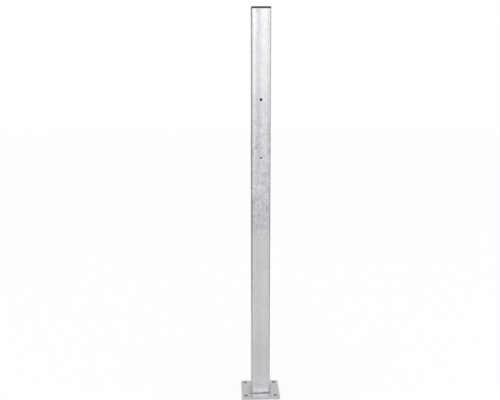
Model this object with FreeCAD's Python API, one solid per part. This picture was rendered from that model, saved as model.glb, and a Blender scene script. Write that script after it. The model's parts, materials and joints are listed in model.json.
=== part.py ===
import FreeCAD, Part
import os

from FreeCAD import Vector

# Bolt-down fence post: a square steel tube, fillet-welded to a drilled base plate and hot-dip galvanised,
# with a moulded cap pushed into its top end.
# Millimetres. The origin is the centre of the base plate's underside and +Z is up. The face of the tube that
# has the two fitting holes looks along -Y.

# Tube
TUBE_SIDE = 60.0
TUBE_WALL = 2.0
TUBE_BEND_RADIUS = 3.0
TUBE_LENGTH = 1216.0

# Fitting holes in the front wall, set down from the top end of the tube
UPPER_HOLE_DIAMETER = 7.5
UPPER_HOLE_DROP = 267.0
LOWER_HOLE_DIAMETER = 5.0
LOWER_HOLE_DROP = 444.0

# Base plate, which stands out from the tube by the same margin on all four sides
PLATE_MARGIN = 31.5
PLATE_THICKNESS = 8.0
PLATE_CORNER_RADIUS = 2.5
PLATE_EDGE_RADIUS = 0.6
ANCHOR_HOLE_DIAMETER = 12.0
ANCHOR_EDGE_DISTANCE = 14.0
DRAIN_HOLE_DIAMETER = 28.0

# Fillet weld round the foot of the tube, wider on the plate than it is high on the tube
WELD_RISE = 3.5
WELD_REACH = 6.5
WELD_CROWN = 0.3

# Cap: a head flush with the tube, over a hollow spigot with barbed fins that grip the bore
CAP_HEAD_HEIGHT = 6.0
CAP_HEAD_EDGE_RADIUS = 1.5
CAP_ROOF = 2.4
SPIGOT_DEPTH = 26.0
SPIGOT_WALL = 1.8
SPIGOT_CHAMFER = 1.2
CAVITY_CORNER_RADIUS = 1.2
FIN_COUNT = 4
FIN_REACH = 2.4
FIN_TAPER_HEIGHT = 2.2
FIN_TIP_HEIGHT = 0.8
FIN_CLEARANCE = 0.15
CAP_RIB_THICKNESS = 1.6
CAP_RIB_DEPTH = 13.0

# Sizes that follow from those above
TUBE_FOOT = PLATE_THICKNESS
TUBE_TOP = TUBE_FOOT + TUBE_LENGTH
TUBE_CORNER_RADIUS = TUBE_BEND_RADIUS + TUBE_WALL
BORE_SIDE = TUBE_SIDE - 2 * TUBE_WALL
PLATE_SIDE = TUBE_SIDE + 2 * PLATE_MARGIN
ANCHOR_OFFSET = PLATE_SIDE / 2 - ANCHOR_EDGE_DISTANCE
FIN_SIDE = BORE_SIDE - 2 * FIN_CLEARANCE
FIN_CORNER_RADIUS = TUBE_BEND_RADIUS - FIN_CLEARANCE
SPIGOT_SIDE = FIN_SIDE - 2 * FIN_REACH
SPIGOT_FOOT = TUBE_TOP - SPIGOT_DEPTH
CAVITY_SIDE = SPIGOT_SIDE - 2 * SPIGOT_WALL
CAVITY_TOP = TUBE_TOP + CAP_HEAD_HEIGHT - CAP_ROOF

UP = Vector(0, 0, 1)
QUARTER_TURNS = (0, 90, 180, 270)


def rounded_square(side, radius, z):
    """Closed wire of a square with arc corners, centred on the Z axis at height z."""
    half = side / 2
    centre = half - radius
    arc_middle = centre + radius * 0.5 ** 0.5
    edges = []
    for turn in QUARTER_TURNS:
        flank = Part.makeLine(Vector(half, -centre, z), Vector(half, centre, z))
        corner = Part.Arc(
            Vector(half, centre, z), Vector(arc_middle, arc_middle, z), Vector(centre, half, z)
        ).toShape()
        for edge in (flank, corner):
            edge.rotate(Vector(), UP, turn)
            edges.append(edge)
    return Part.Wire(edges)


def prism(side, radius, bottom, top):
    """Solid rounded-square column between two heights."""
    return Part.Face(rounded_square(side, radius, bottom)).extrude(UP * (top - bottom))


def frustum(lower_side, lower_radius, upper_side, upper_radius, bottom, top):
    """Solid that tapers from one rounded square to another."""
    sections = [
        rounded_square(lower_side, lower_radius, bottom),
        rounded_square(upper_side, upper_radius, top),
    ]
    return Part.makeLoft(sections, True, True)


def edges_at(shape, z):
    """Edges that lie wholly at height z."""
    return [edge for edge in shape.Edges if all(abs(v.Z - z) < 1e-6 for v in edge.Vertexes)]


def make_post_tube():
    tube = prism(TUBE_SIDE, TUBE_CORNER_RADIUS, TUBE_FOOT, TUBE_TOP)
    tube = tube.cut(prism(BORE_SIDE, TUBE_BEND_RADIUS, TUBE_FOOT, TUBE_TOP))
    for diameter, drop in (
        (UPPER_HOLE_DIAMETER, UPPER_HOLE_DROP),
        (LOWER_HOLE_DIAMETER, LOWER_HOLE_DROP),
    ):
        outside = Vector(0, -TUBE_SIDE / 2 - TUBE_WALL, TUBE_TOP - drop)
        tube = tube.cut(Part.makeCylinder(diameter / 2, 3 * TUBE_WALL, outside, Vector(0, 1, 0)))
    return tube


def make_base_plate():
    plate = prism(PLATE_SIDE, PLATE_CORNER_RADIUS, 0, PLATE_THICKNESS)
    rims = edges_at(plate, 0) + edges_at(plate, PLATE_THICKNESS)
    plate = plate.makeFillet(PLATE_EDGE_RADIUS, rims)
    plate = plate.cut(Part.makeCylinder(DRAIN_HOLE_DIAMETER / 2, PLATE_THICKNESS))
    for turn in QUARTER_TURNS:
        hole = Part.makeCylinder(
            ANCHOR_HOLE_DIAMETER / 2, PLATE_THICKNESS, Vector(ANCHOR_OFFSET, ANCHOR_OFFSET, 0)
        )
        hole.rotate(Vector(), UP, turn)
        plate = plate.cut(hole)
    return plate


def weld_section(x):
    """Convex fillet section against the tube's front face, in the plane at this x."""
    root = Vector(x, -TUBE_SIDE / 2, TUBE_FOOT)
    plate_toe = root - Vector(0, WELD_REACH, 0)
    tube_toe = root + Vector(0, 0, WELD_RISE)
    outward = Vector(0, -WELD_RISE, WELD_REACH).normalize()
    crown = (plate_toe + tube_toe) * 0.5 + outward * WELD_CROWN
    outline = [
        Part.makeLine(root, plate_toe),
        Part.Arc(plate_toe, crown, tube_toe).toShape(),
        Part.makeLine(tube_toe, root),
    ]
    return Part.Face(Part.Wire(outline))


def make_foot_weld():
    straight = TUBE_SIDE / 2 - TUBE_CORNER_RADIUS
    run = weld_section(-straight).extrude(Vector(2 * straight, 0, 0))
    corner = weld_section(straight).revolve(Vector(straight, -straight, 0), UP, 90)
    beads = []
    for turn in QUARTER_TURNS:
        for bead in (run, corner):
            beads.append(bead.rotated(Vector(), UP, turn))
    return beads[0].multiFuse(beads[1:]).removeSplitter()


def make_fins():
    """Barbed rings, flat above and tapered below, spread evenly down the spigot."""
    pitch = (SPIGOT_DEPTH - SPIGOT_CHAMFER) / FIN_COUNT
    fins = []
    for index in range(FIN_COUNT):
        root = SPIGOT_FOOT + SPIGOT_CHAMFER + index * pitch
        tip = root + FIN_TAPER_HEIGHT
        fins.append(frustum(SPIGOT_SIDE, TUBE_BEND_RADIUS, FIN_SIDE, FIN_CORNER_RADIUS, root, tip))
        fins.append(prism(FIN_SIDE, FIN_CORNER_RADIUS, tip, tip + FIN_TIP_HEIGHT))
    return fins


def make_top_cap():
    head_top = TUBE_TOP + CAP_HEAD_HEIGHT
    head = prism(TUBE_SIDE, TUBE_CORNER_RADIUS, TUBE_TOP, head_top)
    head = head.makeFillet(CAP_HEAD_EDGE_RADIUS, edges_at(head, head_top))
    spigot = prism(SPIGOT_SIDE, TUBE_BEND_RADIUS, SPIGOT_FOOT, TUBE_TOP)
    spigot = spigot.makeChamfer(SPIGOT_CHAMFER, edges_at(spigot, SPIGOT_FOOT))
    cap = head.multiFuse([spigot] + make_fins())
    cap = cap.cut(prism(CAVITY_SIDE, CAVITY_CORNER_RADIUS, SPIGOT_FOOT, CAVITY_TOP))
    rib_foot = TUBE_TOP - CAP_RIB_DEPTH
    rib = Part.makeBox(
        CAVITY_SIDE, CAP_RIB_THICKNESS, CAVITY_TOP - rib_foot,
        Vector(-CAVITY_SIDE / 2, -CAP_RIB_THICKNESS / 2, rib_foot),
    )
    return cap.multiFuse([rib, rib.rotated(Vector(), UP, 90)]).removeSplitter()


SUBPARTS = {
    "post_tube": make_post_tube,
    "base_plate": make_base_plate,
    "foot_weld": make_foot_weld,
    "top_cap": make_top_cap,
}

os.makedirs("parts", exist_ok=True)
for node, make in SUBPARTS.items():
    make().exportStep(os.path.join("parts", node + ".step"))
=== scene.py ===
# %% [markdown]
# # A galvanised fence post
#
# The post is a square steel tube, welded to a drilled base plate, dipped in molten zinc and closed with a
# plastic cap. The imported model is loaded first: it fixes every size and place, and each mesh made below is
# drawn inside it. What Blender adds is the finish: soft zinc edges, the ripples of the weld and the grain of
# each surface.

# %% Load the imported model
import json
import math

import bmesh
import bpy
from mathutils import Matrix, Vector, noise


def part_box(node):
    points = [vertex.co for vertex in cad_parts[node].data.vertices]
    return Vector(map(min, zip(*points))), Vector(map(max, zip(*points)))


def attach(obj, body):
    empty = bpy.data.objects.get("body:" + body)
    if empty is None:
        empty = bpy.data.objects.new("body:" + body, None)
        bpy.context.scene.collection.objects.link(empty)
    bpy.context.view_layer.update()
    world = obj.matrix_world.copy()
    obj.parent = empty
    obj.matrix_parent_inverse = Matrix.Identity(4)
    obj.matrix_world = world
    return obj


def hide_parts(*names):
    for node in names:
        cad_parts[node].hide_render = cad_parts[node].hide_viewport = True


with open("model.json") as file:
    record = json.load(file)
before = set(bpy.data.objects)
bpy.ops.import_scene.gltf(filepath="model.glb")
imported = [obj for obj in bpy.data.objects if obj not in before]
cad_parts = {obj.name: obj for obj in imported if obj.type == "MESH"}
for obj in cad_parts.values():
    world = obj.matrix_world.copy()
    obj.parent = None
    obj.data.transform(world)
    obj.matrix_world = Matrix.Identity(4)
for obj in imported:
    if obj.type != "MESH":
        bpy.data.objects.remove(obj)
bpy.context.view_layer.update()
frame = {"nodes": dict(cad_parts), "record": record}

print("nodes:", sorted(frame["nodes"]))

# %% [markdown]
# ## Measures
#
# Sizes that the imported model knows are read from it, so that a changed model carries its dressing with it.
# The boxes of the nodes give the outsides. The record's mounts give the holes, and the length of a hole
# through the tube is the thickness of its wall. Blender works in metres.

# %% Read the measures
MM = 0.001

tube_low, tube_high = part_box("post_tube")
plate_low, plate_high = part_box("base_plate")
weld_low, weld_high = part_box("foot_weld")
cap_low, cap_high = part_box("top_cap")
mounts = {mount["name"]: mount for mount in frame["record"]["mounts"]}

tube_side = tube_high.x - tube_low.x
tube_wall = mounts["upper_fitting_hole"]["dims"]["length_mm"] * MM
plate_side = plate_high.x - plate_low.x
plate_top = plate_high.z
weld_rise = weld_high.z - weld_low.z
weld_reach = weld_high.x - tube_high.x

TUBE_CORNER_RADIUS = 5 * MM
corner_centre = tube_side / 2 - TUBE_CORNER_RADIUS
fitting_holes = []
for name in ("upper_fitting_hole", "lower_fitting_hole"):
    hole_height = mounts[name]["pos_m"][2]
    fitting_holes.append((Vector((0, tube_low.y, hole_height)), mounts[name]["dims"]["r_mm"] * MM))
print(f"tube {tube_side / MM:.1f} mm square with a wall of {tube_wall / MM:.1f} mm")

# %% [markdown]
# ## Shader maths as plain arithmetic
#
# A finish is a graph of nodes, and long sums are hard to read as graphs. `Signal` wraps one output socket
# and turns Python's operators into Math nodes, so `1 - mask` adds a node by itself. `Finish` holds one node
# tree, and its `add` makes any other kind of node: settings first, then socket values or links.

# %% Signals
class Signal:
    """A value that varies over a surface: one output socket of a finish."""

    def __init__(self, finish, socket):
        self.finish = finish
        self.socket = socket

    def math(self, operation, first, second):
        return self.finish.add("ShaderNodeMath", {"operation": operation}, {0: first, 1: second})

    def __add__(self, other):
        return self.math("ADD", self, other)

    def __sub__(self, other):
        return self.math("SUBTRACT", self, other)

    def __rsub__(self, other):
        return self.math("SUBTRACT", other, self)

    def __mul__(self, other):
        return self.math("MULTIPLY", self, other)

    def __gt__(self, other):
        return self.math("GREATER_THAN", self, other)

    def __abs__(self):
        return self.math("ABSOLUTE", self, 0)

    def larger(self, other):
        return self.math("MAXIMUM", self, other)

    __radd__ = __add__
    __rmul__ = __mul__


# %% Finishes
class Finish:
    """The node tree of a material or of the world, and the patterns that it is mixed from."""

    def __init__(self, owner):
        self.owner = owner
        owner.use_nodes = True
        self.tree = owner.node_tree
        self.tree.nodes.clear()

    def add(self, kind, settings, sockets, output=0):
        """Add a node, set it up, feed its sockets and return one of its outputs, if it has any."""
        node = self.tree.nodes.new(kind)
        for key, value in settings.items():
            if key == "stops":
                self.set_stops(node.color_ramp, value)
            else:
                setattr(node, key, value)
        for key, value in sockets.items():
            if isinstance(value, Signal):
                self.tree.links.new(value.socket, node.inputs[key])
            else:
                node.inputs[key].default_value = value
        return Signal(self, node.outputs[output]) if node.outputs else None

    @staticmethod
    def set_stops(ramp, stops):
        ramp.interpolation = "EASE"
        while len(ramp.elements) < len(stops):
            ramp.elements.new(1.0)
        for element, (place, level) in zip(ramp.elements, stops):
            element.position = place
            element.color = (level, level, level, 1)

    def coordinates(self, kind):
        return self.add("ShaderNodeTexCoord", {}, {}, kind)

    def stretch(self, vector, scale):
        return self.add("ShaderNodeMapping", {}, {"Vector": vector, "Scale": scale})

    def axis(self, vector, name):
        return self.add("ShaderNodeSeparateXYZ", {}, {"Vector": vector}, name)

    def grain(self, vector, scale, detail=2.0, roughness=0.5, distortion=0.0):
        """Fractal noise, spread evenly about zero, with about scale grains in a metre."""
        sockets = {
            "Vector": vector, "Scale": scale, "Detail": detail,
            "Roughness": roughness, "Distortion": distortion,
        }
        return self.add("ShaderNodeTexNoise", {}, sockets) - 0.5

    def rise(self, value, start, end, interpolation="SMOOTHSTEP"):
        """From 0 to 1 while value goes from start to end."""
        settings = {"interpolation_type": interpolation}
        return self.add("ShaderNodeMapRange", settings, {"Value": value, "From Min": start, "From Max": end})

    def blend(self, factor, first, second):
        """Colour between first and second: inputs 6 and 7 and output 2 are the Mix node's colours."""
        return self.add("ShaderNodeMix", {"data_type": "RGBA"}, {0: factor, 6: first, 7: second}, 2)

    def scaled(self, colour, level):
        """Colour made lighter or darker by a varying level."""
        return self.add("ShaderNodeVectorMath", {"operation": "SCALE"}, {0: colour, "Scale": level})

    def relief(self, height, distance, strength):
        """Normal of a surface whose height varies, in units of distance."""
        return self.add("ShaderNodeBump", {}, {"Height": height, "Distance": distance, "Strength": strength})

    def coat(self, sockets):
        """Close a material with the Principled shader and return it."""
        shader = self.add("ShaderNodeBsdfPrincipled", {}, sockets)
        self.add("ShaderNodeOutputMaterial", {}, {"Surface": shader})
        print(f"{self.owner.name}: {len(self.tree.nodes)} nodes")
        return self.owner


# %% [markdown]
# ## Zinc
#
# Hot-dip zinc is a satin metal, and never one even grey: the melt drains off in streaks, cools in faint
# crystals and leaves cloudy patches. A picture could be wrapped round each piece, but noise in the object's
# own space needs no unwrapping and has no seams. Most marks are a matter of a few percent, so each pattern
# is a grain about zero, added to a level of about 1. The level then scales a grey that goes from neutral
# through cool to bluish. Plate and weld show no more than this.

# %% Zinc finish
ZINC_NEUTRAL = (0.561, 0.560, 0.561, 1)
ZINC_COOL = (0.547, 0.548, 0.573, 1)
ZINC_BLUE = (0.542, 0.548, 0.571, 1)
TINT_STRETCH = (1, 1, 0.4)
TINT_SPREAD = 1.2
BLOTCH_STRETCH = (1, 1, 0.7)
STREAK_STRETCH = (1, 1, 0.05)
CRYSTAL_SCALE = 170.0
CRYSTAL_SOFTNESS = 0.4
CRYSTAL_MIDDLE = 0.4
CLOUD_LEVEL = 0.18
STREAK_LEVEL = 0.07
CRYSTAL_LEVEL = 0.05
BLOTCH_ROUGHNESS = 0.10
CLOUD_ROUGHNESS = 0.05
FINE_ROUGHNESS = 0.06
BLOTCH_HEIGHT = 0.6
FINE_HEIGHT = 0.25
SKIN_HEIGHT = 0.08 * MM
SKIN_STRENGTH = 0.6


def zinc_finish(name, tone, roughness, piece_pattern_and_painted_light):
    """Galvanised steel: tone is its lightness against plain zinc, piece_pattern_and_painted_light the
    piece's own pattern and any painted light or shade.
    """
    zinc = Finish(bpy.data.materials.new(name))
    place = zinc.coordinates("Object")
    cloud = zinc.grain(place, scale=9.0, detail=3.0)
    tint = zinc.grain(zinc.stretch(place, TINT_STRETCH), scale=40.0)
    blotched = zinc.stretch(place, BLOTCH_STRETCH)
    blotch = zinc.grain(blotched, scale=95.0, detail=4.0, roughness=0.6, distortion=0.8)
    streak = zinc.grain(zinc.stretch(place, STREAK_STRETCH), scale=190.0)
    sockets = {"Vector": place, "Scale": CRYSTAL_SCALE, "Smoothness": CRYSTAL_SOFTNESS}
    crystal = zinc.add("ShaderNodeTexVoronoi", {"feature": "SMOOTH_F1"}, sockets) - CRYSTAL_MIDDLE
    fine = zinc.grain(place, scale=1500.0, detail=3.0, roughness=0.6)
    marks, cool = piece_pattern_and_painted_light(zinc, place, blotch)
    level = tone + cloud * CLOUD_LEVEL + streak * STREAK_LEVEL + crystal * CRYSTAL_LEVEL + marks
    cool = cool + tint * TINT_SPREAD
    colour = zinc.blend(zinc.rise(cool, 0, 1, "LINEAR"), ZINC_NEUTRAL, ZINC_COOL)
    colour = zinc.blend(zinc.rise(cool, 1, 2, "LINEAR"), colour, ZINC_BLUE)
    dullness = roughness + blotch * BLOTCH_ROUGHNESS + cloud * CLOUD_ROUGHNESS + fine * FINE_ROUGHNESS
    skin = cloud + blotch * BLOTCH_HEIGHT + fine * FINE_HEIGHT
    return zinc.coat({
        "Base Color": zinc.scaled(colour, level),
        "Metallic": 1.0,
        "Roughness": dullness,
        "Normal": zinc.relief(skin, SKIN_HEIGHT, SKIN_STRENGTH),
    })


# %% Zinc of plate and weld
EVEN_BLOTCH = 0.15
EVEN_TINT = (-0.3, 0.3)


def even_marks(zinc, place, blotch):
    """No pattern beyond what all zinc shows, and a middling grey."""
    return blotch * EVEN_BLOTCH, zinc.rise(blotch, *EVEN_TINT)


plate_zinc = zinc_finish("plate_zinc", tone=0.90, roughness=0.26, piece_pattern_and_painted_light=even_marks)
weld_zinc = zinc_finish("weld_zinc", tone=0.88, roughness=0.40, piece_pattern_and_painted_light=even_marks)

# %% [markdown]
# ## Marks and painted light of the tube
#
# The tube shows more. Bluish smears cover the middle of its height, and are faint below and weaker above.
# The zinc is lighter over its upper part, and a painted highlight lies at the very top. A short, much
# lighter foot just above the weld is a painted reflection of the light that the plate throws up. Faint
# upright bands that show towards its top are painted reflections: the light and dark stripes that the faces,
# left slightly uneven by the rolls that formed the tube, and their corner arcs mirror. The inside of the
# tube and the rims of its holes are darkened with painted shade. A post is drawn out of the bath at a slant,
# so round the back the marks sit lower. Each mark could be a material of its own with a mask between, but as
# terms of one sum they fade into each other. A pair of heights, in metres, says where a mark begins to set
# in and where it is full.

# %% Heights of the dip
DIP_SLANT = 0.07
DIP_WANDER = 0.35


def dip_height(zinc, place):
    """Height on the tube for the marks of the bath, which slant and wander more towards the back."""
    behind = zinc.rise(zinc.axis(place, "Y"), -tube_side / 2, tube_side / 2, "LINEAR")
    wander = DIP_WANDER * zinc.grain(place, scale=8.0)
    return zinc.axis(place, "Z") + behind * (DIP_SLANT + wander)


# %% Smears
SMEAR_START = (0.50, 0.58)
SMEAR_FADE = (0.80, 0.95)
FAINT_SMEAR = 0.25
TOP_SMEAR = 0.50
SMUDGE_STRETCH = (1, 1, 1.3)
DARK_SMUDGE = (0.04, 0.22)
DARK_DROP = 0.30
LIGHT_SMUDGE = (-0.06, -0.22)
LIGHT_LIFT = 0.22
SMEAR_BLOTCH = 1.1
SMEAR_LIFT = 0.02


def smears(zinc, place, dip, blotch):
    """Blotches with dark and light smudges, strongest over the middle of the height."""
    strength = FAINT_SMEAR + (1 - FAINT_SMEAR) * zinc.rise(dip, *SMEAR_START)
    strength = strength * (1 - (1 - TOP_SMEAR) * zinc.rise(dip, *SMEAR_FADE))
    smudged = zinc.stretch(place, SMUDGE_STRETCH)
    smudge = zinc.grain(smudged, scale=46.0, detail=5.0, roughness=0.65, distortion=1.5)
    dark = DARK_DROP * zinc.rise(smudge, *DARK_SMUDGE)
    light = LIGHT_LIFT * zinc.rise(smudge, *LIGHT_SMUDGE)
    return strength * (blotch * SMEAR_BLOTCH - dark + light + SMEAR_LIFT)


# %% Light and dark stretches, a painted highlight and a painted reflection
UPPER_START = (0.655, 0.725)
UPPER_LIFT = 0.11
DULL_START = (0.535, 0.56)
DULL_END = (0.615, 0.59)
DULL_DROP = 0.05
# The lift at the very top is a painted highlight, added to the softbox's own reflection.
TOP_START = (0.945, 0.975)
TOP_RAGGED = 0.05
TOP_PAINTED_HIGHLIGHT = 0.055
LOWER_END = (0.14, 0.32)
LOWER_DROP = 0.045
BOTTOM_START = (0.10, 0.045)
BOTTOM_LIFT = 0.06
# The much lighter foot just above the weld is a painted reflection of the light that the plate throws up.
FOOT_START = (0.033, 0.012)
FOOT_RAGGED = 0.03
FOOT_PAINTED_REFLECTION = 0.56


def stretches(zinc, dip, height, blotch):
    """What each stretch of the height adds to the level, with a painted highlight at the very top and a
    painted reflection on the foot.
    """
    level = UPPER_LIFT * zinc.rise(dip, *UPPER_START)
    level = level - DULL_DROP * zinc.rise(dip, *DULL_START) * zinc.rise(dip, *DULL_END)
    # Painted highlight at the very top of the tube.
    level = level + TOP_PAINTED_HIGHLIGHT * zinc.rise(dip + blotch * TOP_RAGGED, *TOP_START)
    level = level - LOWER_DROP * (1 - zinc.rise(dip, *LOWER_END))
    level = level + BOTTOM_LIFT * zinc.rise(height, *BOTTOM_START)
    # Painted reflection: the foot just above the weld is made much lighter.
    return level + (FOOT_PAINTED_REFLECTION + blotch) * zinc.rise(height + blotch * FOOT_RAGGED, *FOOT_START)


# %% Painted shade inside the tube and round its holes
# The inside of the tube and a ring round each hole are darkened in the colour: painted shade.
PAINTED_SHADE_DEPTH = 0.7
INSIDE_START = (0.2 * tube_wall, 0.9 * tube_wall)
HOLE_RIM = (0.9 * MM, 0.4 * MM)


def painted_shade_inside_and_rims(zinc, place):
    """Painted shade: how much darker the inside of the tube and the rims of its holes are made."""
    x = abs(zinc.axis(place, "X"))
    y = abs(zinc.axis(place, "Y"))
    painted_shade = PAINTED_SHADE_DEPTH * zinc.rise(tube_side / 2 - x.larger(y), *INSIDE_START)
    for centre, radius in fitting_holes:
        sockets = {0: place, 1: centre}
        reach = zinc.add("ShaderNodeVectorMath", {"operation": "DISTANCE"}, sockets, "Value")
        painted_shade = painted_shade + PAINTED_SHADE_DEPTH * zinc.rise(reach, radius + HOLE_RIM[0], radius + HOLE_RIM[1])
    return painted_shade


# %% Painted reflection bands
# These bands paint the stripes that the slightly uneven faces and their corner arcs reflect.
REFLECTION_BAND_STOPS = ((0.05, 0.5), (0.15, 0.75), (0.35, 0.2), (0.6, 0.65), (0.78, 0.65), (0.84, 0.3), (0.9, 0.4))
BAND_MIDDLE = 0.5
BAND_LEVEL = 0.11
BAND_GAIN = 0.41
BAND_START = (0.72, 0.82)


def painted_reflection_bands(zinc, place, dip):
    """Painted reflection: upright light and dark bands across each of the four sides, stronger towards the
    top.
    """
    x = zinc.axis(place, "X")
    y = zinc.axis(place, "Y")
    across = y + (abs(y) > abs(x)) * (x - y)
    share = zinc.rise(across, -tube_side / 2, tube_side / 2, "LINEAR")
    band = zinc.add("ShaderNodeValToRGB", {"stops": REFLECTION_BAND_STOPS}, {"Fac": share}) - BAND_MIDDLE
    return band * (BAND_LEVEL + BAND_GAIN * zinc.rise(dip, *BAND_START))


# %% Tint of the tube
COOL_START = (0.50, 0.56)
BLUE_START = (0.54, 0.58)
BLUE_END = (0.76, 0.58)
WARM_STEPS = ((0.15, 0.72, 0.78), (0.22, 0.93, 1.05))
COOL_FOOT_STEPS = ((0.55, 0.30, 0.13), (0.6, 0.11, 0.03))


def tube_tint(zinc, dip, height):
    """How cool the grey is: 0 is neutral, 1 is cool and 2 is bluish."""
    warm = 0
    for amount, start, end in WARM_STEPS:
        warm = warm + amount * zinc.rise(dip, start, end)
    cool = zinc.rise(dip, *COOL_START) * (1 - warm)
    cool = cool + zinc.rise(dip, *BLUE_START) * zinc.rise(dip, *BLUE_END)
    for amount, start, end in COOL_FOOT_STEPS:
        cool = cool + amount * zinc.rise(height, start, end)
    return cool


# %% Zinc of the tube
def tube_marks_and_painted_light(zinc, place, blotch):
    """The tube's own pattern with its painted highlight, reflections and shade: what they add to the level,
    and how cool its grey is.
    """
    height = zinc.axis(place, "Z")
    dip = dip_height(zinc, place)
    marks = smears(zinc, place, dip, blotch) + stretches(zinc, dip, height, blotch)
    # The marks hold painted shade and painted reflections as well as the zinc's own pattern.
    marks = marks - painted_shade_inside_and_rims(zinc, place) + painted_reflection_bands(zinc, place, dip)
    return marks, tube_tint(zinc, dip, height)


tube_zinc = zinc_finish("tube_zinc", tone=1.03, roughness=0.28, piece_pattern_and_painted_light=tube_marks_and_painted_light)

# %% [markdown]
# ## Cap plastic
#
# The cap is moulded in black plastic, off a lightly sparked mould: a dull, dark surface with a grain finer
# than a millimetre. The grain could be cut into the mesh, but at this size a bump looks the same and adds no
# faces. A coarser noise makes some places paler and duller, as handling does.

# %% Cap finish
PLASTIC_DARK = (0.030, 0.030, 0.032, 1)
PLASTIC_PALE = (0.046, 0.046, 0.048, 1)
PLASTIC_ROUGHNESS = 0.46
SCUFF_ROUGHNESS = 0.14
SPARK_HEIGHT = 0.05 * MM
SPARK_STRENGTH = 0.5


def plastic_finish(name):
    plastic = Finish(bpy.data.materials.new(name))
    place = plastic.coordinates("Object")
    spark = plastic.grain(place, scale=1300.0)
    scuff = plastic.grain(place, scale=60.0, detail=4.0, roughness=0.6)
    return plastic.coat({
        "Base Color": plastic.blend(scuff + 0.5, PLASTIC_DARK, PLASTIC_PALE),
        "Roughness": PLASTIC_ROUGHNESS + scuff * SCUFF_ROUGHNESS,
        "Normal": plastic.relief(spark, SPARK_HEIGHT, SPARK_STRENGTH),
    })


cap_plastic = plastic_finish("cap_plastic")

# %% [markdown]
# ## Outlines and rings
#
# Tube, plate and cap all start from one outline: a square with round corners. Bevelling the corner points of
# a square face gives true arcs. A ring of edges is then extruded again and again, and each new ring is put
# where the section goes next, which is how a tube is drawn.

# %% Outline helpers
ARC_STEPS = 8
SQUARE_CORNERS = ((1, -1), (1, 1), (-1, 1), (-1, -1))


def square_blank(side, radius, height, columns=1):
    """A bmesh with one flat face: a square with arc corners, its straight edges cut into columns."""
    bm = bmesh.new()
    corners = [bm.verts.new((x * side / 2, y * side / 2, height)) for x, y in SQUARE_CORNERS]
    bm.faces.new(corners)
    bmesh.ops.bevel(
        bm, geom=corners, offset=radius, offset_type="OFFSET", segments=ARC_STEPS,
        profile=0.5, affect="VERTICES", material=-1,
    )
    if columns > 1:
        flats = [edge for edge in bm.edges if edge.calc_length() > radius]
        bmesh.ops.subdivide_edges(bm, edges=flats, cuts=columns - 1)
    return bm


def open_face(bm):
    """Take the blank's face away and return the ring of edges that is left."""
    bmesh.ops.delete(bm, geom=bm.faces[:], context="FACES_ONLY")
    return bm.edges[:]


def extrude_ring(bm, ring):
    """Extrude a ring of edges in place, and return the new ring with its points."""
    grown = bmesh.ops.extrude_edge_only(bm, edges=ring)["geom"]
    points = [part for part in grown if isinstance(part, bmesh.types.BMVert)]
    fresh = set(points)
    edges = [part for part in grown if isinstance(part, bmesh.types.BMEdge) and fresh.issuperset(part.verts)]
    return edges, points


# %% Rims and pieces
RIM_ANGLE = math.radians(50)


def soften_rims(bm, radius, segments):
    """Round every sharp edge, as a coat of zinc does."""
    rims = [edge for edge in bm.edges if edge.is_manifold and edge.calc_face_angle() > RIM_ANGLE]
    bmesh.ops.bevel(
        bm, geom=rims, offset=radius, offset_type="OFFSET", segments=segments,
        profile=0.5, affect="EDGES", clamp_overlap=True, material=-1,
    )


def place_piece(bm, name, node, material):
    """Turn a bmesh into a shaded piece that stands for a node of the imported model."""
    for edge in bm.edges:
        edge.smooth = edge.is_manifold and edge.calc_face_angle() < RIM_ANGLE
    mesh = bpy.data.meshes.new(name)
    bm.to_mesh(mesh)
    bm.free()
    mesh.materials.append(material)
    mesh.polygons.foreach_set("use_smooth", [True] * len(mesh.polygons))
    piece = bpy.data.objects.new(name, mesh)
    bpy.context.scene.collection.objects.link(piece)
    even = piece.modifiers.new("even_shading", "WEIGHTED_NORMAL")
    even.keep_sharp = True
    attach(piece, "root")
    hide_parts(node)
    print(f"{name}: {len(mesh.polygons)} faces")


# %% [markdown]
# ## Tube
#
# The tube is rolled from strip and welded along a seam, and two holes are drilled in its front. A Boolean
# could cut them, but it leaves long thin faces that shade badly. So the tube is drawn as a thin skin, a ring
# of points that climbs from the plate to the cap, with small square cells around each hole. A block of cells
# is taken out there, its edge is pulled in to a circle, and only then does the skin get its wall: the wall
# also lines the holes and closes the ends.

# %% Rings of the tube
TUBE_COLUMNS = 40
ROW_SPACING = 38 * MM
PATCH_CELLS = 4

cell = 2 * corner_centre / TUBE_COLUMNS
patch_reach = PATCH_CELLS * cell


def tube_rows():
    """Heights of the tube's rings: small steps past each hole, large ones between."""
    rows = []
    stops = [tube_low.z]
    for centre, _ in sorted(fitting_holes, key=lambda hole: hole[0].z):
        rows += [centre.z + step * cell for step in range(-PATCH_CELLS, PATCH_CELLS + 1)]
        stops += [centre.z - patch_reach, centre.z + patch_reach]
    stops.append(tube_high.z)
    for start, end in zip(stops[::2], stops[1::2]):
        count = math.ceil((end - start) / ROW_SPACING)
        rows += [start + (end - start) * step / count for step in range(1, count)]
    return sorted(rows) + [tube_high.z]


print(f"tube: {len(tube_rows())} rings, cells of {cell / MM:.2f} mm")


# %% Fitting holes
def open_hole(bm, centre, radius):
    """Take a block of cells out of the front and pull its edge in to a circle."""
    patch = []
    for face in bm.faces:
        offset = face.calc_center_median() - centre
        if abs(offset.y) < cell and abs(offset.x) < patch_reach and abs(offset.z) < patch_reach:
            patch.append(face)
    taken = set(patch)
    rim = [edge for face in patch for edge in face.edges if not taken.issuperset(edge.link_faces)]
    bmesh.ops.delete(bm, geom=patch, context="FACES")
    _, points = extrude_ring(bm, rim)
    for point in points:
        point.co = centre + (point.co - centre).normalized() * radius


# %% Make the tube
TUBE_RIM_RADIUS = 0.35 * MM
TUBE_RIM_STEPS = 2


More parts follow.
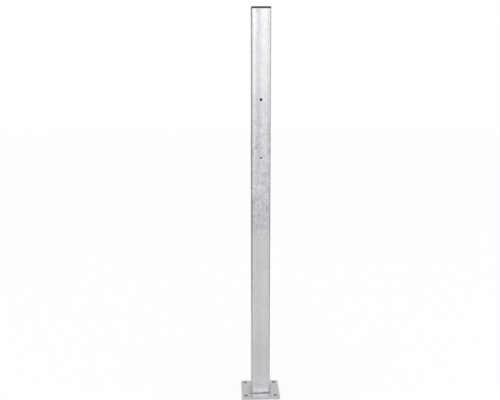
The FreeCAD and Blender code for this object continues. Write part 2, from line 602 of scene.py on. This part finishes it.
def make_tube():
    bm = square_blank(tube_side, TUBE_CORNER_RADIUS, tube_low.z, TUBE_COLUMNS)
    ring = open_face(bm)
    for height in tube_rows():
        ring, points = extrude_ring(bm, ring)
        for point in points:
            point.co.z = height
    for centre, radius in fitting_holes:
        open_hole(bm, centre, radius)
    bmesh.ops.recalc_face_normals(bm, faces=bm.faces[:])
    bmesh.ops.solidify(bm, geom=bm.faces[:], thickness=tube_wall)
    soften_rims(bm, TUBE_RIM_RADIUS, TUBE_RIM_STEPS)
    place_piece(bm, "tube", "post_tube", tube_zinc)


make_tube()

# %% [markdown]
# ## Base plate
#
# The plate is cut from flat steel, with a hole for an anchor in each corner and a drain inside the tube. The
# holes could be cut out of a block one by one. Here the outline and the holes are loose rings in one plane,
# which a fill turns into a sheet with openings in one go. The sheet is extruded to its thickness, and every
# edge is rounded, because zinc leaves no sharp ones.

# %% Holes of the plate
DRAIN_HOLE_RADIUS = 14 * MM


def plate_holes():
    """Centre and radius of each hole: four for anchors, and one drain inside the tube."""
    dims = mounts["anchor_holes"]["dims"]
    offset_x = dims["spacing_x_mm"] * MM / 2
    offset_y = dims["spacing_y_mm"] * MM / 2
    holes = [(Vector((0, 0, plate_low.z)), DRAIN_HOLE_RADIUS)]
    for x, y in SQUARE_CORNERS:
        holes.append((Vector((x * offset_x, y * offset_y, plate_low.z)), dims["hole_r_mm"] * MM))
    return holes


# %% Make the plate
PLATE_CORNER_RADIUS = 2.5 * MM
PLATE_RIM_RADIUS = 0.6 * MM
PLATE_RIM_STEPS = 3
HOLE_STEPS = 40


def make_plate():
    bm = square_blank(plate_side, PLATE_CORNER_RADIUS, plate_low.z)
    open_face(bm)
    for centre, radius in plate_holes():
        bmesh.ops.create_circle(bm, segments=HOLE_STEPS, radius=radius, matrix=Matrix.Translation(centre))
    bmesh.ops.triangle_fill(bm, use_beauty=True, edges=bm.edges[:])
    raised = bmesh.ops.extrude_face_region(bm, geom=bm.faces[:])["geom"]
    points = [part for part in raised if isinstance(part, bmesh.types.BMVert)]
    bmesh.ops.translate(bm, verts=points, vec=(0, 0, plate_top - plate_low.z))
    bmesh.ops.recalc_face_normals(bm, faces=bm.faces[:])
    soften_rims(bm, PLATE_RIM_RADIUS, PLATE_RIM_STEPS)
    place_piece(bm, "plate", "base_plate", plate_zinc)


make_plate()

# %% [markdown]
# ## Weld
#
# The fillet weld is laid in one pass round the foot of the tube. Its section is a triangle with a bulged
# face, wider on the plate than it is high on the tube, drawn along the four flanks and turned round the four
# corners. A hand-laid bead is uneven: the puddle leaves a ripple every couple of millimetres, bowed in the
# direction of travel, the legs grow and shrink, and the bead leans, here flat on the plate and there up the
# tube. A bump could suggest the ripples but not the lean, so all of it is put into the mesh, by moving each
# point nearer to or further from the root of the weld.

# %% Section of the weld
WELD_FACE_CUTS = 11
WELD_CROWN = 0.08


def hump(share):
    """0 at both toes of the bead and 1 halfway up its face."""
    return 4 * share * (1 - share)


def weld_section(bm):
    """The bead's section against the front flank, at its left end, as a ring of edges."""
    root = Vector((-corner_centre, -tube_side / 2, plate_top))
    plate_toe = bm.verts.new(root + Vector((0, -weld_reach, 0)))
    tube_toe = bm.verts.new(root + Vector((0, 0, weld_rise)))
    bm.faces.new((bm.verts.new(root), plate_toe, tube_toe))
    slope = [edge for edge in plate_toe.link_edges if tube_toe in edge.verts]
    cut = bmesh.ops.subdivide_edges(bm, edges=slope, cuts=WELD_FACE_CUTS)
    for part in cut["geom_inner"]:
        if isinstance(part, bmesh.types.BMVert):
            share = (part.co.z - root.z) / weld_rise
            part.co = root + (part.co - root) * (1 + WELD_CROWN * hump(share))
    return open_face(bm)


# %% Draw the bead
WELD_RUN_STEPS = 130
WELD_CORNER_STEPS = 34
QUARTER_TURN = math.radians(90)
FLANKS = 4


def draw_bead(bm, ring):
    """Draw the section round the foot, and return how far along the bead each point lies."""
    along = {}
    travelled = 0.0
    run = 2 * corner_centre / WELD_RUN_STEPS
    turn = QUARTER_TURN / WELD_CORNER_STEPS
    for flank in range(FLANKS):
        heading = Matrix.Rotation(flank * QUARTER_TURN, 3, "Z")
        for _ in range(WELD_RUN_STEPS):
            ring, points = extrude_ring(bm, ring)
            bmesh.ops.translate(bm, verts=points, vec=heading @ Vector((run, 0, 0)))
            travelled += run
            along.update((point, travelled) for point in points)
        pivot = heading @ Vector((corner_centre, -corner_centre, 0))
        for _ in range(WELD_CORNER_STEPS):
            ring, points = extrude_ring(bm, ring)
            bmesh.ops.rotate(bm, verts=points, cent=pivot, matrix=Matrix.Rotation(turn, 3, "Z"))
            travelled += turn * (TUBE_CORNER_RADIUS + weld_reach / 2)
            along.update((point, travelled) for point in points)
    return along, travelled


# %% Unevenness of the bead
RIPPLE_PITCH = 2.3 * MM
RIPPLE_BOW = 1.5 * MM
RIPPLE_DEPTH = 0.055
RIPPLE_MIDDLE = 0.6
WANDER = 0.14
WANDER_LENGTH = 17 * MM
WANDER_TWIST = 1.3
SPREAD = 0.20
LEAN = 0.32
LEAN_CYCLES = 2


def ripple(distance, share, pitch):
    """Height of the ripples from 0 to 1, in scallops that bow forward in the middle of the face."""
    phase = (distance + RIPPLE_BOW * hump(share)) / pitch % 1
    return 1 - (2 * phase - 1) ** 2


def unevenness(distance, share, length):
    """How much further from the root than in the plain section a point lies, as a part of its reach."""
    turn = distance / length * math.tau
    place = Vector((math.cos(turn), math.sin(turn), 0)) * (length / WANDER_LENGTH / math.tau)
    swell = noise.noise(place + Vector((0, 0, share * WANDER_TWIST))) * WANDER
    pitch = length / round(length / RIPPLE_PITCH)
    scallop = (ripple(distance, share, pitch) - RIPPLE_MIDDLE) * RIPPLE_DEPTH
    lean = (SPREAD + LEAN * math.cos(LEAN_CYCLES * turn)) * (1 - 2 * share)
    return swell + scallop + lean


# %% Make the weld
SAME_PLACE = 0.01 * MM


def root_of(point):
    """The nearest point of the corner where tube and plate meet."""
    inner_x = max(-corner_centre, min(corner_centre, point.x))
    inner_y = max(-corner_centre, min(corner_centre, point.y))
    inner = Vector((inner_x, inner_y, 0))
    outward = Vector((point.x, point.y, 0)) - inner
    root = inner + outward.normalized() * TUBE_CORNER_RADIUS
    root.z = plate_top
    return root


def make_weld():
    bm = bmesh.new()
    ring = weld_section(bm)
    along, length = draw_bead(bm, ring)
    bmesh.ops.remove_doubles(bm, verts=bm.verts[:], dist=SAME_PLACE)
    for point in bm.verts:
        root = root_of(point.co)
        reach = point.co - root
        if reach.length > SAME_PLACE:
            # Points of the first ring have no distance: the bead's end closes on them.
            distance = along.get(point, length)
            share = min(reach.z / weld_rise, 1)
            point.co = root + reach * (1 + unevenness(distance, share, length))
    bmesh.ops.recalc_face_normals(bm, faces=bm.faces[:])
    print(f"weld: a bead of {length / MM:.0f} mm")
    place_piece(bm, "weld", "foot_weld", weld_zinc)


make_weld()

# %% [markdown]
# ## Cap
#
# The cap is moulded in one piece. Its head is as wide as the tube and covers the cut end, and below it a
# hollow spigot with barbed fins grips the bore. It could be put together from blocks, but one ring of points
# makes it closed from the start: the ring goes down from the rim of the head, in under it, out and back for
# each fin, in at the foot and up again into the cavity. A floor closes the ring there, two pairs of cuts
# part it along the ribs, and the four corners that are left are pushed up into pockets.

# %% Section of the cap
FIN_COUNT = 4
FIN_REACH = 2.4 * MM
FIN_CLEARANCE = 0.15 * MM
FIN_TAPER = 2.2 * MM
FIN_TIP = 0.8 * MM
SPIGOT_CHAMFER = 1.2 * MM
SPIGOT_WALL = 1.8 * MM
RIB_DEPTH = 13 * MM
cap_seat = tube_high.z


def cap_steps():
    """Side and height of each ring from under the head to the floor of the cavity."""
    fin = tube_side - 2 * (tube_wall + FIN_CLEARANCE)
    spigot = fin - 2 * FIN_REACH
    cavity = spigot - 2 * SPIGOT_WALL
    pitch = (cap_seat - cap_low.z - SPIGOT_CHAMFER) / FIN_COUNT
    steps = [(tube_side, cap_seat), (spigot, cap_seat)]
    for index in reversed(range(FIN_COUNT)):
        root = cap_low.z + SPIGOT_CHAMFER + index * pitch
        top = root + FIN_TAPER + FIN_TIP
        steps += [(spigot, top), (fin, top), (fin, root + FIN_TAPER), (spigot, root)]
    steps += [(spigot - 2 * SPIGOT_CHAMFER, cap_low.z), (cavity, cap_low.z), (cavity, cap_seat - RIB_DEPTH)]
    return steps


# %% Pockets of the cap
CAP_ROOF = 2.4 * MM
RIB_THICKNESS = 1.6 * MM
CUT_TOLERANCE = 0.001 * MM


def push_pockets(bm, ring):
    """Close the cavity with a floor, part it along the ribs and push the corners up to the roof."""
    floor_parts = bmesh.ops.contextual_create(bm, geom=ring)["faces"]
    for normal in (Vector((1, 0, 0)), Vector((0, 1, 0))):
        for side in (-1, 1):
            edges = {edge for face in floor_parts for edge in face.edges}
            points = {point for face in floor_parts for point in face.verts}
            cut = bmesh.ops.bisect_plane(
                bm, geom=floor_parts + list(edges) + list(points), dist=CUT_TOLERANCE,
                plane_co=normal * side * RIB_THICKNESS / 2, plane_no=normal,
            )
            floor_parts = [part for part in cut["geom"] if isinstance(part, bmesh.types.BMFace)]
    corners = []
    for face in floor_parts:
        middle = face.calc_center_median()
        if min(abs(middle.x), abs(middle.y)) > RIB_THICKNESS / 2:
            corners.append(face)
    roofs = bmesh.ops.extrude_discrete_faces(bm, faces=corners)["faces"]
    points = {point for face in roofs for point in face.verts}
    bmesh.ops.translate(bm, verts=list(points), vec=(0, 0, cap_high.z - CAP_ROOF - cap_seat + RIB_DEPTH))
    return len(corners)


# %% Make the cap
CAP_RIM_RADIUS = 1.5 * MM
CAP_RIM_STEPS = 6


def make_cap():
    bm = square_blank(tube_side, TUBE_CORNER_RADIUS, cap_high.z)
    rim = bm.edges[:]
    ring = rim
    side_now = tube_side
    for side, height in cap_steps():
        ring, points = extrude_ring(bm, ring)
        bmesh.ops.scale(bm, verts=points, vec=(side / side_now, side / side_now, 1))
        for point in points:
            point.co.z = height
        side_now = side
    pockets = push_pockets(bm, ring)
    bmesh.ops.recalc_face_normals(bm, faces=bm.faces[:])
    bmesh.ops.bevel(
        bm, geom=rim, offset=CAP_RIM_RADIUS, offset_type="OFFSET", segments=CAP_RIM_STEPS,
        profile=0.5, affect="EDGES", clamp_overlap=True, material=-1,
    )
    print(f"cap: {FIN_COUNT} fins and {pockets} pockets")
    place_piece(bm, "cap", "top_cap", cap_plastic)


make_cap()

# %% [markdown]
# ## Floor
#
# The post stands on a strip of white paper. More light on the floor would make it white but bleach the post,
# so the paper glows: the camera and reflections see an even white, and a part of the plain shading stays for
# the shadow. The glow is weaker under the plate, which keeps its holes dark. Satin metal shows its
# surroundings more than its own colour, so for reflections alone the floor beside the paper is greyer, and
# that draws a dark line along each edge of the tube.

# %% Floor finish
FLOOR_GLOW = 0.8
COVERED_GLOW = 0.25
PAPER_WHITE = (0.95, 0.95, 0.95, 1)
ROOM_WHITE = (1, 1, 1, 1)
LEFT_GREY = (0.42, 0.42, 0.42, 1)
RIGHT_GREY = (0.63, 0.63, 0.63, 1)
PAPER_EDGE = (0.55, 0.85)
BACK_EDGE = (0.4, 0)
BACK_SLOPE = 0.3


def side_grey(finish, x):
    """Grey of the room beside the paper, a little darker on the left."""
    return finish.blend(x > 0, LEFT_GREY, RIGHT_GREY)


def ray(finish, kind):
    """1 for rays of this kind, 0 for others."""
    return finish.add("ShaderNodeLightPath", {}, {}, f"Is {kind} Ray")


def floor_finish():
    paper = Finish(bpy.data.materials.new("white_floor"))
    place = paper.coordinates("Object")
    x = paper.axis(place, "X")
    y = paper.axis(place, "Y")
    sight = ray(paper, "Camera") + ray(paper, "Glossy") + ray(paper, "Transmission")
    seen = paper.rise(sight, 0, 1, "LINEAR")
    bare = paper.rise((abs(x) > plate_side / 2) + (abs(y) > plate_side / 2), 0, 1, "LINEAR")
    ahead = paper.rise((x > 0) * (y - BACK_SLOPE * x), *BACK_EDGE)
    beside = paper.rise(abs(x), *PAPER_EDGE) * ahead * ray(paper, "Glossy")
    plain = paper.add("ShaderNodeBsdfDiffuse", {}, {"Color": PAPER_WHITE})
    tone = paper.blend(beside, ROOM_WHITE, side_grey(paper, x))
    glow = paper.add("ShaderNodeEmission", {}, {"Color": tone, "Strength": 1.0})
    share = seen * (COVERED_GLOW + (FLOOR_GLOW - COVERED_GLOW) * bare)
    both = paper.add("ShaderNodeMixShader", {}, {0: share, 1: plain, 2: glow})
    paper.add("ShaderNodeOutputMaterial", {}, {"Surface": both})
    return paper.owner


# %% Lay the floor
FLOOR_REACH = 12.0
FLOOR_GAP = 0.5 * MM


def make_floor():
    bm = bmesh.new()
    bmesh.ops.create_grid(bm, x_segments=1, y_segments=1, size=FLOOR_REACH)
    bmesh.ops.translate(bm, verts=bm.verts[:], vec=(0, 0, plate_low.z - FLOOR_GAP))
    mesh = bpy.data.meshes.new("floor")
    bm.to_mesh(mesh)
    bm.free()
    mesh.materials.append(floor_finish())
    floor = bpy.data.objects.new("floor", mesh)
    bpy.context.scene.collection.objects.link(floor)
    print(f"floor: {2 * FLOOR_REACH:.0f} m square")


make_floor()

# %% [markdown]
# ## Room and softboxes
#
# For the camera the room is white. Reflections see it greyer low down on both sides and overhead, as a
# studio is beyond its paper and its lamps. Two softboxes hang in front: the near one starts at the height of
# the upper hole, and its reflection brightens the face above that, and the far one hangs high, where the
# plate mirrors it. Lamps could be set by their power, but a radiance says at once how bright they look in
# metal.

# %% Room
CEILING_GREY = (0.50, 0.50, 0.50, 1)
FRONT_EDGE = (-0.60, -0.35)
LEFT_START = (-0.30, -0.55)
RIGHT_START = (0.40, 0.65)
RIGHT_BACK_EDGE = (0.45, 0.20)
UPPER_EDGE = (0.28, 0.14)
CEILING_START = (0.55, 0.80)

room = Finish(bpy.data.worlds.new("studio"))
direction = room.coordinates("Generated")
x = room.axis(direction, "X")
y = room.axis(direction, "Y")
z = room.axis(direction, "Z")
sides = room.rise(x, *LEFT_START) + room.rise(x, *RIGHT_START)
beside = room.rise(y, *FRONT_EDGE) * sides
beside = beside * room.rise((x > 0) * y, *RIGHT_BACK_EDGE) * room.rise(z, *UPPER_EDGE)
overhead = room.rise(z, *CEILING_START)
shade = room.blend(beside * ray(room, "Glossy"), ROOM_WHITE, side_grey(room, x))
shade = room.blend(overhead * ray(room, "Glossy"), shade, CEILING_GREY)
light = room.add("ShaderNodeBackground", {}, {"Color": shade, "Strength": 1.0})
room.add("ShaderNodeOutputWorld", {}, {"Surface": light})
bpy.context.scene.world = room.owner
print(f"room: {len(room.tree.nodes)} nodes")

# %% Softboxes
SOFTBOX_SIDE = 0.2
UPRIGHT = math.radians(90)


def hang_softbox(name, distance, width, bottom, top, radiance):
    """An upright soft lamp in front of the post, facing it."""
    lamp = bpy.data.lights.new(name, "AREA")
    lamp.shape = "RECTANGLE"
    lamp.size = width
    lamp.size_y = top - bottom
    lamp.energy = radiance * math.pi * width * (top - bottom)
    softbox = bpy.data.objects.new(name, lamp)
    softbox.location = (SOFTBOX_SIDE, -distance, (bottom + top) / 2)
    softbox.rotation_euler = (UPRIGHT, 0, 0)
    softbox.visible_camera = False
    bpy.context.scene.collection.objects.link(softbox)
    print(f"{name}: {lamp.energy:.1f} W")


hang_softbox("near_softbox", distance=3.6, width=3.0, bottom=0.95, top=4.0, radiance=0.37)
hang_softbox("far_softbox", distance=10.0, width=8.0, bottom=3.9, top=8.6, radiance=0.45)

# %% [markdown]
# ## Camera
#
# The camera stands two metres in front of the post and one metre up, and looks slightly down, so that the
# top of the plate shows. Place, turn and focal length could be set by eye. They were fitted to the
# photograph's edges and holes instead, so that every size in the picture follows from the model's.

# %% Camera
FOCAL_LENGTH = 47.84
SENSOR_WIDTH = 36.0
CAMERA_PLACE = (-0.1055, -2.0580, 1.0109)
CAMERA_DIP = 10.109
CAMERA_ROLL = 0.06
CAMERA_TURN = -2.031

lens = bpy.data.cameras.new("camera")
lens.lens = FOCAL_LENGTH
lens.sensor_width = SENSOR_WIDTH
camera = bpy.data.objects.new("camera", lens)
camera.location = CAMERA_PLACE
camera.rotation_euler = (
    math.radians(90 - CAMERA_DIP), math.radians(CAMERA_ROLL), math.radians(CAMERA_TURN),
)
bpy.context.scene.collection.objects.link(camera)
bpy.context.scene.camera = camera
bpy.context.scene.view_settings.view_transform = "Standard"
print(f"camera: {FOCAL_LENGTH} mm lens, looking down by {CAMERA_DIP} degrees")
